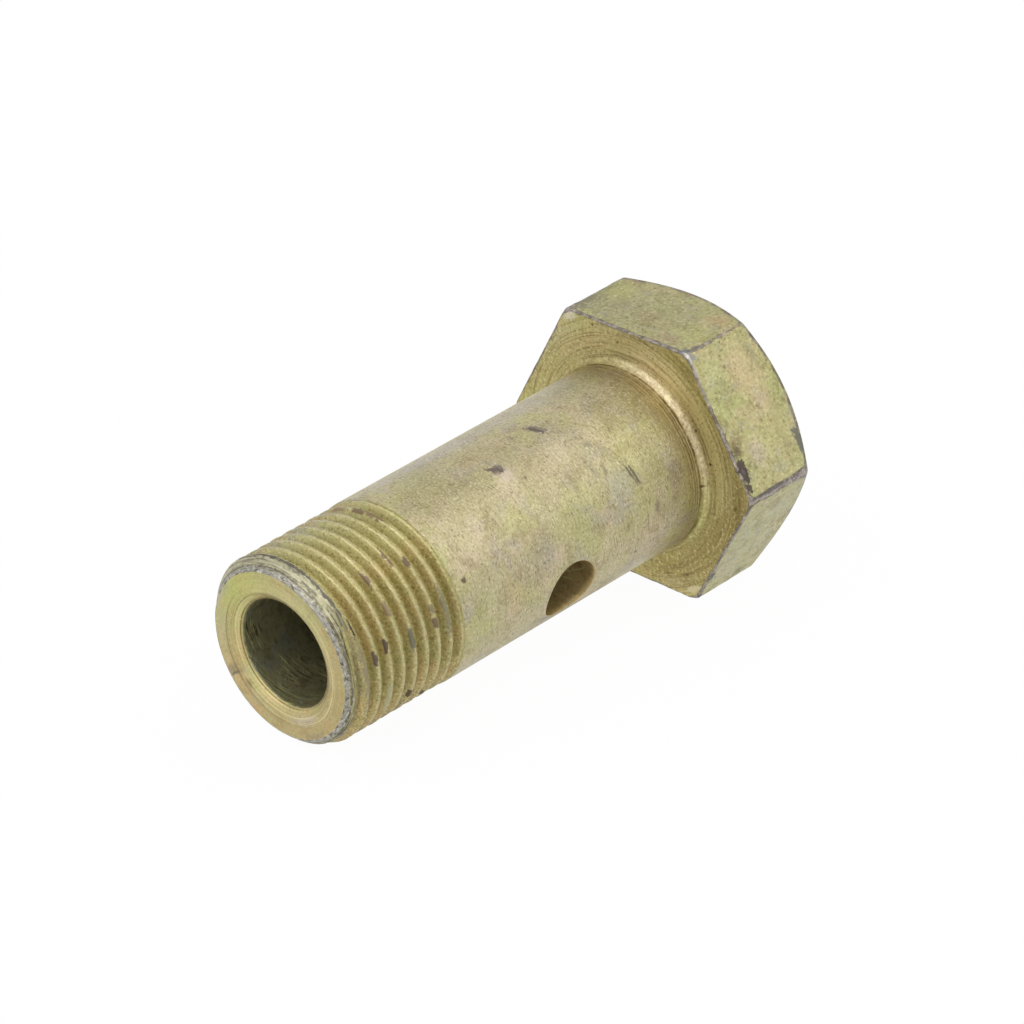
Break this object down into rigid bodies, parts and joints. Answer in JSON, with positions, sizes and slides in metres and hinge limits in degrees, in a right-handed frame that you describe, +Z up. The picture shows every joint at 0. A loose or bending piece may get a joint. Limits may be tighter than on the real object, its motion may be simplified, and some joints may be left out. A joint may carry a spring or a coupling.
{
  "type": "banjo bolt",
  "caption": "Banjo bolt: hexagon head, plain shank with a cross hole into a blind axial bore, and a fine-threaded end, for clamping a banjo eye to a port.",
  "frame": {"origin": "on the bolt's axis, in the plane of the bearing face under the head", "axes": "+X along the axis from the bearing face to the threaded tip; +Z up, with one flat of the head facing straight down"},
  "size_m": [0.0499, 0.0272, 0.0234],
  "materials": {
    "zinc_plated_steel": "satin"
  },
  "bodies": {
    "root": {"banjo_bolt": "zinc_plated_steel"}
  },
  "joints": []
}
